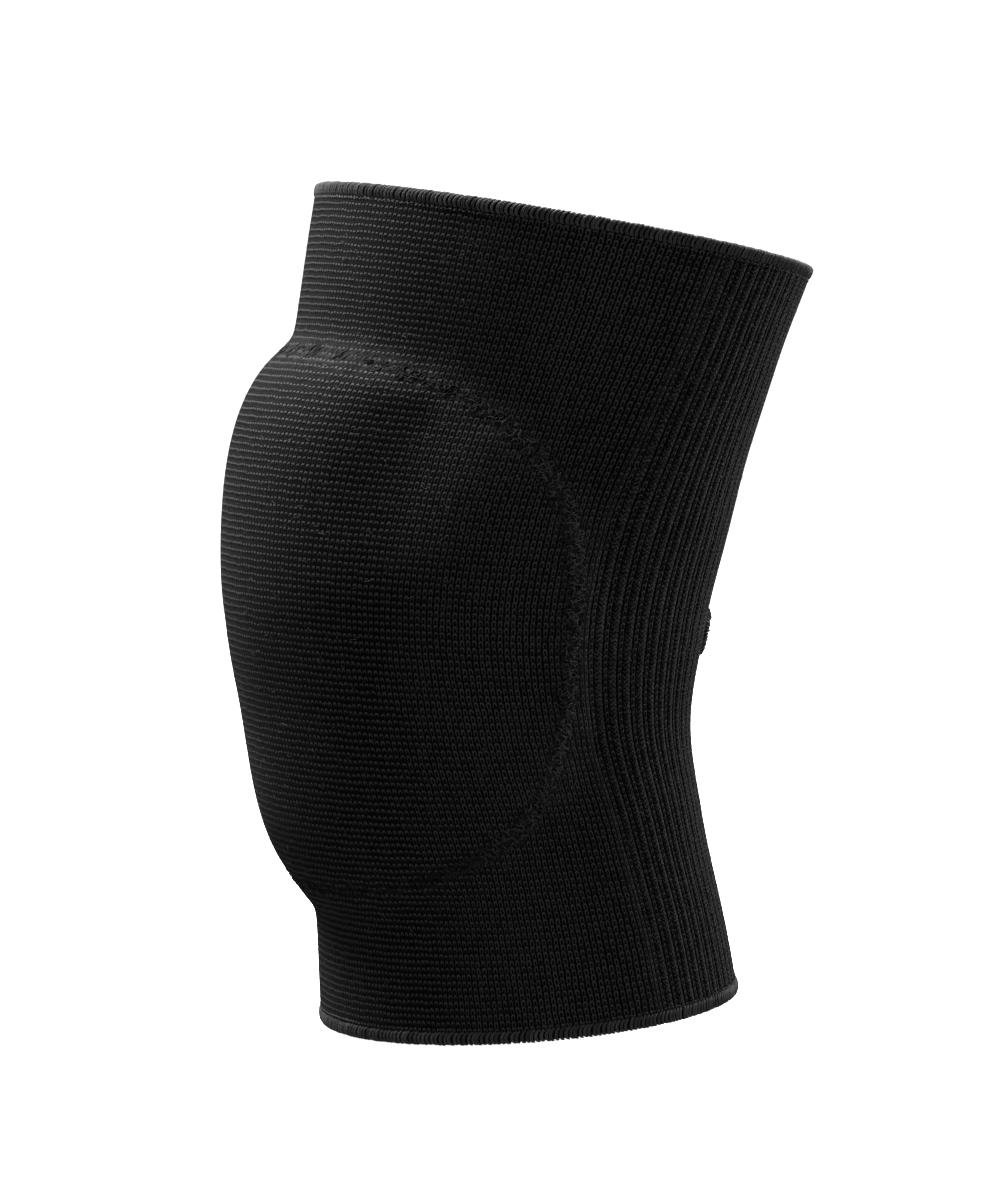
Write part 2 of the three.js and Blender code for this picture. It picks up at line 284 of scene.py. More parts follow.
def arch_pattern(tree, side, y, beside, near_ribs):
    """The plain stitch: an oval above the middle of the stitch, straight legs below it. The
    front shows mostly the round tops, in rows; the sides show whole loops, in columns. The gaps
    between loops, rows and columns are dark as painted shade."""
    above = node(tree, "Math", {0: y, 1: 0.5}, operation="SUBTRACT")
    above = node(tree, "Math", {0: above, 1: 0.0}, operation="MAXIMUM")
    above = node(tree, "Math", {0: above, 1: 0.36}, operation="DIVIDE")
    across = node(tree, "Math", {0: side, 1: 0.28}, operation="DIVIDE")
    arch = node(tree, "CombineXYZ", {0: across, 1: above})
    arch = node(tree, "VectorMath", {0: arch}, operation="LENGTH").outputs["Value"]
    arch = node(tree, "Math", {0: arch, 1: 1.0}, operation="SUBTRACT")
    arch = node(tree, "Math", {0: arch}, operation="ABSOLUTE")
    arch = node(tree, "MapRange", {"Value": arch, 1: 0.18, 2: 0.75, 3: 1.05, 4: 0.0},
                interpolation_type="SMOOTHSTEP")
    front_row_shade = node(tree, "MapRange", {"Value": y, 1: 0.42, 2: 0.76, 3: 0.12, 4: 2.5})
    side_row_shade = node(tree, "MapRange", {"Value": y, 1: 0.0, 2: 0.5, 3: 0.42, 4: 1.35})
    row_gap_shade = node(tree, "Mix", {0: beside, 2: front_row_shade, 3: side_row_shade}, data_type="FLOAT")
    column_gap_shade = node(tree, "MapRange", {"Value": side, 1: 0.28, 2: 0.42, 3: 1.0, 4: 0.03})
    front_gap_shade = node(tree, "Math", {0: column_gap_shade, 1: 0.65, 2: 0.35}, operation="MULTIPLY_ADD")
    column_gap_shade = node(tree, "Mix", {0: beside, 2: front_gap_shade, 3: column_gap_shade}, data_type="FLOAT")
    # towards the ribs the columns draw apart, with a line of painted shade between them
    narrow = node(tree, "MapRange", {"Value": side, 1: 0.18, 2: 0.36, 3: 0.8, 4: 0.0})
    column_gap_shade = node(tree, "Mix", {0: near_ribs, 2: column_gap_shade, 3: narrow}, data_type="FLOAT")
    gap_shade = node(tree, "Math", {0: row_gap_shade, 1: column_gap_shade}, operation="MULTIPLY")
    return node(tree, "Math", {0: arch, 1: gap_shade}, operation="MULTIPLY")


def chain_pattern(tree, uv, place, side):
    """The chain on a wide rib: strands that rise towards the middle of the column, with painted
    shade between them.
    """
    along = node(tree, "SeparateXYZ", {0: place}).outputs[1]
    rise = node(tree, "Math", {0: along, 1: 1.4}, operation="MULTIPLY")
    rise = node(tree, "Math", {0: side, 1: -1.5, 2: rise}, operation="MULTIPLY_ADD")
    loose = node(tree, "TexNoise", {"Vector": uv, "Scale": 1.6, "Detail": 1.0})
    rise = node(tree, "Math", {0: loose, 1: 1.1, 2: rise}, operation="MULTIPLY_ADD")
    chain = node(tree, "Math", {0: rise, 1: 2 * np.pi}, operation="MULTIPLY")
    chain = node(tree, "Math", {0: chain}, operation="SINE")
    return node(tree, "MapRange", {"Value": chain, 1: -0.9, 2: 0.8, 3: 0.05, 4: 0.66},
                interpolation_type="SMOOTHSTEP")


def felted(tree, uv, strand, beside, near_seam):
    """Beside the seam the stitches are pulled about and felted, and painted darker at the front
    as shade where the seam sinks into the cloth.
    """
    felt = node(tree, "TexNoise", {"Vector": uv, "Scale": 2.2, "Detail": 2.0})
    felt = node(tree, "MapRange", {"Value": felt, 1: 0.4, 2: 0.64, 3: 0.0, 4: 0.45})
    # painted shade: the felt is half as pale at the front as at the sides
    sunk_shade = node(tree, "MapRange", {"Value": beside, 1: 0.0, 2: 1.0, 3: 0.5, 4: 1.0})
    felt = node(tree, "Math", {0: felt, 1: sunk_shade}, operation="MULTIPLY")
    share = node(tree, "Math", {0: near_seam, 1: 0.85}, operation="MULTIPLY")
    return node(tree, "Mix", {0: share, 2: strand, 3: felt}, data_type="FLOAT")


def yarn_shade(tree, uv, place, strand, fibre, groove_shade_depth):
    """How pale the yarn is: dark between the strands and in the grooves as painted shade, paler on
    the yarn, and uneven from fibre to fibre, from stitch to stitch and over the cloth."""
    patch = node(tree, "TexNoise", {"Vector": uv, "Scale": 0.06, "Detail": 3.0})
    patch = node(tree, "MapRange", {"Value": patch, 1: 0.3, 2: 0.7, 3: 0.85, 4: 1.15})
    grain = node(tree, "MapRange", {"Value": fibre, 1: 0.3, 2: 0.7, 3: 0.35, 4: 1.8})
    stitch = node(tree, "VectorMath", {0: place}, operation="FLOOR")
    stitch = node(tree, "TexWhiteNoise", {"Vector": stitch}, noise_dimensions="3D")
    stitch = node(tree, "MapRange", {"Value": stitch, 1: 0.0, 2: 1.0, 3: 0.55, 4: 1.5})
    # painted shade: the colour falls to a twentieth of itself deep in a rib groove
    groove = node(tree, "MapRange", {"Value": groove_shade_depth, 1: 0.15, 2: 0.85, 3: 1.0, 4: 0.05})
    shade = strand
    for factor in (grain, patch, stitch, groove):
        shade = node(tree, "Math", {0: shade, 1: factor}, operation="MULTIPLY")
    return shade


def knit_material():
    """Black elastic knit: arches on the plain cloth, slanted strands on the ribs."""
    material, tree, output = new_material("black_elastic_knit")
    uv = node(tree, "UVMap", uv_map="stitches")
    wobble = node(tree, "TexNoise", {"Vector": uv, "Scale": 0.55, "Detail": 2.0})
    shift = node(tree, "VectorMath", {0: wobble.outputs["Color"], 1: (0.5, 0.5, 0.5)},
                 operation="SUBTRACT")
    shift = node(tree, "VectorMath", {0: shift, "Scale": 0.5}, operation="SCALE")
    place = node(tree, "VectorMath", {0: uv, 1: shift}, operation="ADD")
    cell = node(tree, "VectorMath", {0: place}, operation="FRACTION")
    x, y = node(tree, "SeparateXYZ", {0: cell}).outputs[:2]
    side = node(tree, "Math", {0: x, 1: 0.5}, operation="SUBTRACT")
    side = node(tree, "Math", {0: side}, operation="ABSOLUTE")
    # what the cloth does here: ribbed, how deep in a groove (for painted shade), on a wide rib; at
    # the side, near the seam, near the ribs
    rib = node(tree, "SeparateColor", {0: node(tree, "Attribute", attribute_name="rib").outputs[0]})
    ribbed, groove_shade_depth, wide = rib.outputs
    lie = node(tree, "SeparateColor", {0: node(tree, "Attribute", attribute_name="lie").outputs[0]})
    beside, near_seam, near_ribs = lie.outputs
    arch = arch_pattern(tree, side, y, beside, near_ribs)
    chain = chain_pattern(tree, uv, place, side)
    chained = node(tree, "Math", {0: ribbed, 1: wide}, operation="MULTIPLY")
    strand = node(tree, "Mix", {0: chained, 2: arch, 3: chain}, data_type="FLOAT")
    strand = felted(tree, uv, strand, beside, near_seam)
    fibre = node(tree, "TexNoise", {"Vector": uv, "Scale": 4.0, "Detail": 3.0})
    height = node(tree, "Math", {0: fibre, 1: 0.35, 2: strand}, operation="MULTIPLY_ADD")
    shade = yarn_shade(tree, uv, place, strand, fibre, groove_shade_depth)
    # the strand pattern's dark gaps carry painted shade into this colour
    colour = node(tree, "Mix", {0: shade, 6: linear("010101"), 7: linear("4b4b4c")},
                  data_type="RGBA")
    bump = node(tree, "Bump", {"Height": height, "Strength": 1.0, "Distance": 0.45 * MM})
    shader = node(tree, "BsdfPrincipled", {
        "Base Color": colour.outputs["Result"], "Roughness": 0.85, "IOR": 1.5,
        "Specular IOR Level": 0.05, "Sheen Weight": 0.012, "Sheen Roughness": 0.5, "Normal": bump})
    tree.links.new(shader.outputs[0], output.inputs["Surface"])
    return material


knit = knit_material()

# %% [markdown]
# ### Overlock thread, plain stitching thread and foam
#
# Overlock yarn is a loose bundle of fine crimped filaments. It looks softer than the knit, with
# fine streaks. The stitch line inside each rim shows a paler thread. The foam is closed-cell,
# so its skin is dull and finely pitted.

# %% Thread and foam materials
def yarn_material(name, dark, pale, streak_scale, roughness, bump_mm):
    """Crimped yarn: uneven streaks, with the given two shades and fineness per metre, and
    threads that differ in tone. The tone also carries painted shade where a piece sets it so."""
    material, tree, output = new_material(name)
    place = node(tree, "TexCoord").outputs["Object"]
    streak = node(tree, "TexNoise", {"Vector": place, "Scale": streak_scale, "Detail": 4.0})
    streaked = node(tree, "MapRange", {"Value": streak, 1: 0.3, 2: 0.65, 3: 0.35, 4: 1.0})
    tone = node(tree, "Attribute", attribute_name="tone").outputs["Fac"]
    shade = node(tree, "Math", {0: streaked, 1: tone}, operation="MULTIPLY")
    colour = node(tree, "Mix", {0: shade, 6: linear(dark), 7: linear(pale)}, data_type="RGBA")
    bump = node(tree, "Bump", {"Height": streak, "Strength": 0.7, "Distance": bump_mm * MM})
    shader = node(tree, "BsdfPrincipled", {
        "Base Color": colour.outputs["Result"], "Roughness": roughness, "IOR": 1.5,
        "Specular IOR Level": 0.12, "Sheen Weight": 0.02, "Sheen Roughness": 0.4, "Normal": bump})
    tree.links.new(shader.outputs[0], output.inputs["Surface"])
    return material


overlock = yarn_material("black_overlock_yarn", "050505", "6c6c6e", 2600.0, 0.7, 0.2)
seam_yarn = yarn_material("black_crimped_yarn", "030303", "606062", 1800.0, 0.85, 0.3)
pale_thread = yarn_material("grey_stitching_thread", "1a1a1b", "7c7c7e", 1500.0, 0.6, 0.1)
foam = yarn_material("black_closed_cell_foam", "0e0e0e", "2c2c2d", 1200.0, 0.9, 0.2)
print("materials:", [m.name for m in (knit, overlock, seam_yarn, pale_thread, foam)])

# %% [markdown]
# ## The sleeve
#
# The cloth is one grid, denser at the back so that each rib gets its own round profile: a wide
# rib of two stitch columns, a narrow rib of one, and a groove on each side. The opening behind
# the knee starts as a slit between two rows, which a formula then draws apart into an oval.

# %% Columns and rows of the grid
RIBS = 36
RIB_FADE, RIB_DEPTH = np.radians(6), 0.85
WIDE_SHARE = 0.62  # of one pair's width
FRONT_COLUMNS = 100
HOLE_WIDTH, HOLE_HEIGHT, HOLE_MIDDLE, HOLE_RIM = 54, 20, -3, 2.8
HEM_HEIGHT, HEM_THICKNESS, HEM_PROUD, CLEARANCE = 4.4, 3.2, 0.7, 0.3
HEM_TUCK = 1.6  # how far the cloth runs on inside a rim
cloth_top = TUBE_HEIGHT / 2 - HEM_HEIGHT - CLEARANCE

rib_phases = np.array([0.0, 0.05, 0.14, 0.31, 0.48, 0.57, 0.62, 0.68, 0.81, 0.94])
front_share = np.linspace(-1, 1, FRONT_COLUMNS, endpoint=False)
back_share = ((np.arange(RIBS)[:, None] + rib_phases) / RIBS).ravel()
phases = np.concatenate([np.zeros(FRONT_COLUMNS), np.tile(rib_phases, RIBS)])
rows_below = np.linspace(-cloth_top - HEM_TUCK, HOLE_MIDDLE, 73)
rows_above = np.linspace(HOLE_MIDDLE, cloth_top + HEM_TUCK, 77)
print("columns:", len(phases), "rows:", len(rows_below) + len(rows_above) - 1)


def rib_start(height):
    """The turn at which the ribs begin: nearest the front at the knee, further back at the
    two ends of the tube."""
    return np.pi * through(SECTION_RIBS, height / TUBE_HEIGHT + 0.5)


def column_turns(rows):
    """The turn of every column at each row. The columns swing back with the start of the ribs."""
    start = rib_start(rows)[:, None]
    back = start + 2 * (np.pi - start) * back_share
    return np.concatenate([start * front_share, back], axis=1)


# %% Relief of the cloth
SEAM_REACH = 78  # mm from the middle of the cushion to its seam, on average
DIP_DEPTH, DIP_WIDTH = 0.25, 3.5
PUCKERS, PUCKER_DEPTH, PUCKER_WIDTH = 46, 0.15, 6
UNEVENNESS = 0.18


def opened(turn, height, side):
    """Heights drawn away from the slit: the square root of the height squared and the oval's
    half height squared, fading out above and below. side is -1 below the slit and 1 above."""
    across = abs(from_front(turn - np.pi)) * KNEE_DEPTH / 2 / (HOLE_WIDTH / 2)
    half = HOLE_HEIGHT / 2 * np.sqrt(np.clip(1 - across**2.2, 0, 1))
    away = height - HOLE_MIDDLE
    fade = np.exp(-((away / 40) ** 2))
    return HOLE_MIDDLE + side * np.sqrt(away**2 + fade * half**2)


def seam_distance(turn, height):
    """Distance in millimetres from the seam, from how far a point's reach is from one."""
    along = (height - (SEAM_TOP - SEAM_BOTTOM) / 2) / ((SEAM_TOP + SEAM_BOTTOM) / 2)
    across = from_front(turn) / (SEAM_TURN * (1 - SEAM_TAPER * np.clip(along, -1, 1)))
    reach = (abs(across) ** SEAM_POWER + abs(along) ** SEAM_POWER) ** (1 / SEAM_POWER)
    return (reach - 1) * SEAM_REACH


def rib_profile(phase):
    """Height of the cloth across a pair of ribs, from 0 in a groove to 1 on a rib."""
    wide = np.sin(np.pi * np.clip(phase / WIDE_SHARE, 0, 1)) ** 0.55
    narrow = 0.8 * np.sin(np.pi * np.clip((phase - WIDE_SHARE) / (1 - WIDE_SHARE), 0, 1)) ** 0.65
    return np.where(phase < WIDE_SHARE, wide, narrow)


def rib_amount(turn, height):
    """How far the cloth is ribbed: 0 on the plain front, growing to 1 over RIB_FADE."""
    beyond = np.clip((abs(from_front(turn)) - rib_start(height)) / RIB_FADE, 0, 1)
    return beyond * beyond * (3 - 2 * beyond)


def relief(turn, height, phase):
    """How far the outer face stands off its form: grooves between the ribs, a shallow dip along
    the seam with small puckers beside it, and a faint unevenness of worn cloth."""
    groove = -RIB_DEPTH * rib_amount(turn, height) * (1 - rib_profile(phase))
    away = seam_distance(turn, height)
    dip = -DIP_DEPTH * np.exp(-((away / DIP_WIDTH) ** 2))
    angle = np.arctan2(height + 3, from_front(turn) * 60)
    pucker = PUCKER_DEPTH * np.sin(angle * PUCKERS) * np.exp(-((away / PUCKER_WIDTH) ** 2))
    uneven = UNEVENNESS * np.sin(turn * 5 + height / 17) * np.sin(height / 11 - turn * 3)
    return groove + dip + pucker + uneven


# %% Build the sleeve as a closed shell
STEP = 4  # the inner face uses every fourth row and column of the outer face
SIDE_START, SIDE_SPAN = np.radians(38), np.radians(34)
NEAR_SEAM, NEAR_RIBS = 3.4, np.radians(26)


def sleeve_half(rows, side, step):
    """One half of the cloth, below or above the slit: its points, and for each point the ribbed
    amount, groove depth, width of rib, turn to the side, nearness of the seam and of the ribs."""
    rows = rows[::step]
    turn, phase = column_turns(rows)[:, ::step], phases[::step]
    height = opened(turn, np.broadcast_to(rows[:, None], turn.shape), side)
    out = relief(turn, height, phase) if step == 1 else np.full(turn.shape, -float(WALL))
    ribbed = rib_amount(turn, height)
    # the groove depth darkens the knit's colour as painted shade
    groove = ribbed * (1 - rib_profile(phase)) * (step == 1)
    wide = np.broadcast_to(phase < WIDE_SHARE, turn.shape).astype(float)
    beside = np.clip((abs(from_front(turn)) - SIDE_START) / SIDE_SPAN, 0, 1)
    near = np.exp(-((seam_distance(turn, height) / NEAR_SEAM) ** 2))
    before = rib_start(height) - abs(from_front(turn))
    near_ribs = np.clip(1 - before / NEAR_RIBS, 0, 1) * (1 - ribbed)
    marks = np.stack([ribbed, groove, wide, beside, near, near_ribs], -1)
    return cloth_point(turn, height, out), marks.reshape(-1, 6)


columns = len(phases)
halves, marks = zip(*[sleeve_half(rows, side, step) for rows, side in
                      ((rows_below, -1), (rows_above, 1)) for step in (1, STEP)])
marks = np.concatenate(marks)
starts = np.cumsum([0] + [h.shape[0] * h.shape[1] for h in halves])
points = np.concatenate([h.reshape(-1, 3) for h in halves])

faces = []
for half, start in zip(halves, starts):
    body = grid_faces(half.shape[0], half.shape[1], start=start)
    faces += body if half.shape[1] == columns else [f[::-1] for f in body]


def join_edge(outer_first, inner_first, flip):
    """Faces between an edge of the outer face and the same edge of the inner face: each takes
    one step of the inner edge and STEP steps of the outer one."""
    made = []
    inner_count = columns // STEP
    for k in range(inner_count):
        outer_run = [outer_first + (k * STEP + j) % columns for j in range(STEP + 1)]
        face = outer_run + [inner_first + (k + 1) % inner_count, inner_first + k]
        made.append(face if flip else face[::-1])
    return made


last_row_below = (len(rows_below) - 1) * columns
last_inner_below = (len(rows_below[::STEP]) - 1) * (columns // STEP)
last_row_above = (len(rows_above) - 1) * columns
last_inner_above = (len(rows_above[::STEP]) - 1) * (columns // STEP)
faces += join_edge(starts[0], starts[1], False)
faces += join_edge(starts[2] + last_row_above, starts[3] + last_inner_above, True)
hole_low = join_edge(starts[0] + last_row_below, starts[1] + last_inner_below, True)
hole_high = join_edge(starts[2], starts[3], False)
inner_turns = column_turns(np.array([float(HOLE_MIDDLE)]))[0, ::STEP]
in_hole = abs(from_front(inner_turns - np.pi)) * KNEE_DEPTH < HOLE_WIDTH
open_step = in_hole | np.roll(in_hole, -1)
faces += [f for f, is_open in zip(hole_low, open_step) if is_open]
faces += [f for f, is_open in zip(hole_high, open_step) if is_open]

sleeve = add_piece("sleeve_knit", points, faces, knit)
print("points before welding the slit:", len(points))

# %% [markdown]
# The slit's two lips lie on each other outside the opening, so welding points closer than a
# few microns closes the cloth there and leaves the oval open. The UV map and the attributes are
# written first, point by point, and then follow the welded mesh.

# %% UV map in stitches, attributes, weld
FRONT_WALES = 130  # columns of stitches over the plain front, about 1.5 mm each
# the cloth stretches least at the sides, so the count slows down there
wale_count = np.concatenate([
    (front_share + 0.14 * (front_share - front_share**3) + 1) / 2 * FRONT_WALES,
    FRONT_WALES + np.concatenate(
        [k * 3 + np.where(rib_phases < WIDE_SHARE, rib_phases / WIDE_SHARE * 2,
                          2 + (rib_phases - WIDE_SHARE) / (1 - WIDE_SHARE)) for k in range(RIBS)]),
])
uv_points = []
for index in range(4):
    step = STEP if index % 2 else 1
    side_rows = (rows_below, rows_above)[index // 2][::step]
    u, v = np.meshgrid(wale_count[::step], (side_rows + cloth_top + HEM_TUCK) / COURSE)
    uv_points.append(np.stack([u, v], -1).reshape(-1, 2))
uv_points = np.concatenate(uv_points)

mesh = sleeve.data
corner_point = np.empty(len(mesh.loops), int)
mesh.loops.foreach_get("vertex_index", corner_point)
corner_uv = uv_points[corner_point]
face_first = np.empty(len(mesh.polygons), int)
face_size = np.empty(len(mesh.polygons), int)
mesh.polygons.foreach_get("loop_start", face_first)
mesh.polygons.foreach_get("loop_total", face_size)
# the grid's last column joins its first, so those faces count on past the end
round_total = wale_count[-1] + (1 - rib_phases[-1]) / (1 - WIDE_SHARE)
highest = np.maximum.reduceat(corner_uv[:, 0], face_first)
highest = np.repeat(highest, face_size)
corner_uv[:, 0] += np.where(highest - corner_uv[:, 0] > round_total / 2, round_total, 0)
mesh.uv_layers.new(name="stitches").data.foreach_set("uv", corner_uv.ravel())
full = np.ones((len(marks), 1))
for name, values in (("rib", marks[:, :3]), ("lie", marks[:, 3:])):
    attribute = mesh.color_attributes.new(name, "FLOAT_COLOR", "POINT")
    attribute.data.foreach_set("color", np.hstack([values, full]).ravel())

work = bmesh.new()
work.from_mesh(mesh)
bmesh.ops.remove_doubles(work, verts=work.verts, dist=0.004 * MM)
work.to_mesh(mesh)
work.free()
print("points after welding:", len(mesh.vertices))
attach(sleeve, "root")
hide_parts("sleeve")

# %% [markdown]
# ## The cushion
#
# The foam fills the space between the leg and the bulging cloth. It is seen only through the
# openings. Its two faces are drawn as rings that shrink towards its middle, and the outermost
# rings of both are joined into its edge.

# %% Foam cushion
def rounded_outline(step, share, middle_turn, turn, middle, half, power, taper=0.0):
    """A rounded square drawn on the leg: powers of a cosine and a sine, kept with their signs."""
    across, along = np.cos(step), np.sin(step)
    rise = np.sign(along) * abs(along) ** (2 / power)
    aside = np.sign(across) * abs(across) ** (2 / power) * turn * (1 - taper * rise)
    return middle_turn + share * aside, middle + share * half * rise


FOAM_INSET = 8  # mm from the foot of the bulge to the edge of the foam
RINGS, ROUND = 24, 96  # rings of each face, and points of each ring
shares = np.linspace(0.04, 1, RINGS)
shares = np.concatenate([shares, shares[::-1]])
round_step = np.linspace(0, 2 * np.pi, ROUND, endpoint=False)
step_grid, share_grid = np.meshgrid(round_step, shares)
foam_half, foam_middle = (BULGE_TOP + BULGE_BOTTOM) / 2, (BULGE_TOP - BULGE_BOTTOM) / 2
inset = 1 - FOAM_INSET / foam_half
foam_turn, foam_height = rounded_outline(step_grid, share_grid, 0, BULGE_TURN * inset,
                                         foam_middle, foam_half * inset, OUTLINE_POWER)
back_face = section_point(foam_turn[:RINGS], foam_height[:RINGS], -WALL)
front_face = cloth_point(foam_turn[RINGS:], foam_height[RINGS:],
                         np.full((RINGS, ROUND), -WALL - CLEARANCE))
foam_points = np.concatenate([back_face, front_face])
last_ring = range((2 * RINGS - 1) * ROUND, 2 * RINGS * ROUND)
foam_faces = grid_faces(2 * RINGS, ROUND) + [list(range(ROUND))[::-1], list(last_ring)]
cushion = add_piece("foam_cushion", foam_points, foam_faces, foam,
                    tone=np.full(2 * RINGS * ROUND, 0.7))
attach(cushion, "root")
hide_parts("foam_pad")

# %% [markdown]
# ## The seam round the cushion
#
# The cushion is sewn in with an overlock seam. On the outside it is a low, fuzzy band of small
# curls of crimped yarn, and no two of them lie quite alike. A smooth ridge carries the curls, so
# that no gap shows through; it is coloured darker than the curls as painted shade between them.
# Both are painted darker towards the front, as shade where the seam sinks into the cloth.

# %% Seam band
SEAM_WIDTH = 5.2
SEAM_RADIUS = KNEE_WIDTH / 2


def seam_line(step):
    """Turn and height of the middle of the seam."""
    return rounded_outline(step, 1, 0, SEAM_TURN, (SEAM_TOP - SEAM_BOTTOM) / 2,
                           (SEAM_TOP + SEAM_BOTTOM) / 2, SEAM_POWER, SEAM_TAPER)


fine_step = np.linspace(0, 2 * np.pi, 4001)
fine_turn, fine_height = seam_line(fine_step)
fine_run = np.hypot(np.diff(fine_turn) * SEAM_RADIUS, np.diff(fine_height))
fine_run = np.concatenate([[0], np.cumsum(fine_run)])
print("seam length:", round(fine_run[-1]), "mm")


def seam_place(run, across):
    """Turn and height of a point that lies run millimetres along the seam and across
    millimetres inside it."""
    def line(place):
        return seam_line(np.interp(place % fine_run[-1], fine_run, fine_step))
    (turn_0, height_0), (turn_1, height_1) = line(run - 1), line(run + 1)
    aside, climb = (turn_1 - turn_0) * SEAM_RADIUS, height_1 - height_0
    length = np.hypot(aside, climb)
    turn, height = line(run)
    return turn + climb / length * across / SEAM_RADIUS, height - aside / length * across


RIDGE_STEPS, RIDGE_SIDES = 400, 10
profile = np.linspace(0, 2 * np.pi, RIDGE_SIDES, endpoint=False)
ridge_run = (np.arange(RIDGE_STEPS) / RIDGE_STEPS * fine_run[-1])[:, None]
ridge_turn, ridge_height = seam_place(ridge_run, SEAM_WIDTH * 0.38 * np.cos(profile))


def seam_fullness(turn):
    """0 over the front, where the seam sinks into the cloth, to 1 at the sides."""
    beyond = np.clip((abs(turn) / SEAM_TURN - 0.45) / 0.45, 0, 1)
    return beyond * beyond * (3 - 2 * beyond)


ridge_out = -1.0 + 0.5 * seam_fullness(ridge_turn) + 0.4 * np.sin(profile)
ridge = cloth_point(ridge_turn, ridge_height, ridge_out)
ridge_faces = [f[::-1] for f in grid_faces(RIDGE_STEPS, RIDGE_SIDES, wrap_rows=True)]

# each strand is a short curl at its own place, angle and size
STRANDS, STRAND_POINTS, STRAND_SIDES = 2200, 8, 5
t = np.linspace(-1, 1, STRAND_POINTS)
aim_angle = rng.normal(0, 0.9, (STRANDS, 1))
half_length = rng.uniform(0.6, 1.2, (STRANDS, 1))
wave = rng.uniform(0, 2 * np.pi, (STRANDS, 1))
curl = rng.uniform(0.15, 0.5, (STRANDS, 1)) * np.sin(2.6 * t + wave)
middle_across = rng.uniform(-0.5, 0.5, (STRANDS, 1)) * (SEAM_WIDTH - half_length)
middle_run = (np.arange(STRANDS) + rng.uniform(-0.5, 0.5, STRANDS)) / STRANDS
middle_run = (middle_run * fine_run[-1])[:, None]
across = middle_across + half_length * t * np.cos(aim_angle) - curl * np.sin(aim_angle)
along = middle_run + half_length * t * np.sin(aim_angle) + curl * np.cos(aim_angle)
strand_turn, strand_height = seam_place(along, across)
full = seam_fullness(strand_turn.mean(1, keepdims=True))
lift = 0.25 * (1 - t**2) + rng.uniform(-0.05, 0.2, (STRANDS, 1)) - 0.05 * middle_across**2
lift = lift - rng.uniform(0.35, 0.8, (STRANDS, 1)) * (1 - full)
strands = cloth_point(strand_turn, strand_height, lift)
thickness = rng.uniform(0.17, 0.27, (STRANDS, 1)) * (1 - 0.6 * t**4)
strand_points, strand_faces = threads(strands, thickness, STRAND_SIDES, False,
                                      start=ridge.size // 3)
# painted shade: the curls are darker towards the front, where the seam sinks in; their random tone
# is the yarn's own
tone = rng.uniform(0.25, 0.95, STRANDS) * (0.2 + 0.8 * full[:, 0])
tone = np.repeat(tone, STRAND_POINTS * STRAND_SIDES)
# painted shade: the ridge under the curls is coloured darker than them, and darker still at the
# front
ridge_shade_tone = np.broadcast_to(0.04 + 0.16 * seam_fullness(ridge_turn), ridge.shape[:-1])
tone = np.concatenate([ridge_shade_tone.ravel(), tone])
seam = add_piece("pad_seam_stitches", np.concatenate([ridge.reshape(-1, 3), strand_points]),
                 ridge_faces + strand_faces, seam_yarn, tone=tone)
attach(seam, "root")
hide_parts("pad_seam")

# %% [markdown]
# ## The overlocked rims
#
# At each rim the overlock thread goes round and round the edge of the cloth. Every stitch lays
# two strands side by side, about 1.3 mm from one stitch to the next. Each strand is a closed loop
# round the rim's core, leaning a little, with its own thickness and place.

# %% Wraps and core of a rim
def rim_profile(angle, thick, tall):
    """A rounded rectangle round the rim's core: outward push and height for each angle."""
    across, along = np.cos(angle), np.sin(angle)
    push = np.sign(across) * abs(across) ** 0.75 * thick / 2
    rise = np.sign(along) * abs(along) ** 0.75 * tall / 2
    return push, rise


TOP_STITCHES, BOTTOM_STITCHES = 320, 275
CORE_STEPS, RIM_POINTS, THREAD_SIDES = 240, 14, 5


def build_rim(name, node_name, bottom, top, wraps):
    """One rim: a core, coloured at the darkest tone as painted shade between the wraps, and
    closed loops of thread round it.
    """
    middle, tall = (bottom + top) / 2, top - bottom
    push_middle = HEM_PROUD - HEM_THICKNESS / 2
    angle = np.linspace(0, 2 * np.pi, RIM_POINTS, endpoint=False)
    push, rise = rim_profile(angle, HEM_THICKNESS - 1.2, tall - 1.2)
    around = np.linspace(0, 2 * np.pi, CORE_STEPS, endpoint=False)[:, None]
    core = section_point(around, middle + rise, push_middle + push)
    core_faces = [f[::-1] for f in grid_faces(CORE_STEPS, RIM_POINTS, wrap_rows=True)]
    spacing = 2 * np.pi / wraps
    beside = np.tile([-0.15, 0.15], wraps) + rng.uniform(-0.03, 0.03, 2 * wraps)
    start = (np.repeat(np.arange(wraps) + rng.uniform(-0.12, 0.12, wraps), 2) + beside)[:, None]
    start = start * spacing
    thickness = rng.uniform(0.23, 0.29, (2 * wraps, 1))
    size = np.repeat(rng.uniform(-0.15, 0.15, wraps), 2)[:, None]
    size = size + rng.uniform(-0.1, 0.1, (2 * wraps, 1))
    push, rise = rim_profile(angle[None], HEM_THICKNESS - 0.75 + size, tall - 0.75 + size)
    curl = 0.45 + np.repeat(rng.uniform(-0.1, 0.1, wraps), 2)[:, None]
    slant = spacing * (0.35 * np.sin(angle) - curl * np.cos(2 * angle))
    loops = section_point(start + slant, middle + rise, push_middle + push)
    loop_points, loop_faces = threads(loops, thickness, THREAD_SIDES, True,
                                      start=core.size // 3)
    tone = np.repeat(rng.uniform(0.55, 1, wraps), 2) * rng.uniform(0.7, 1, 2 * wraps)
    tone = np.repeat(tone, RIM_POINTS * THREAD_SIDES)
    # painted shade: the core takes the darkest tone, so the gaps between the wraps look shaded
    tone = np.concatenate([np.zeros(core.size // 3), tone])
    rim = add_piece(name, np.concatenate([core.reshape(-1, 3), loop_points]),
                    core_faces + loop_faces, overlock, tone=tone)
    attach(rim, "root")
    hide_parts(node_name)


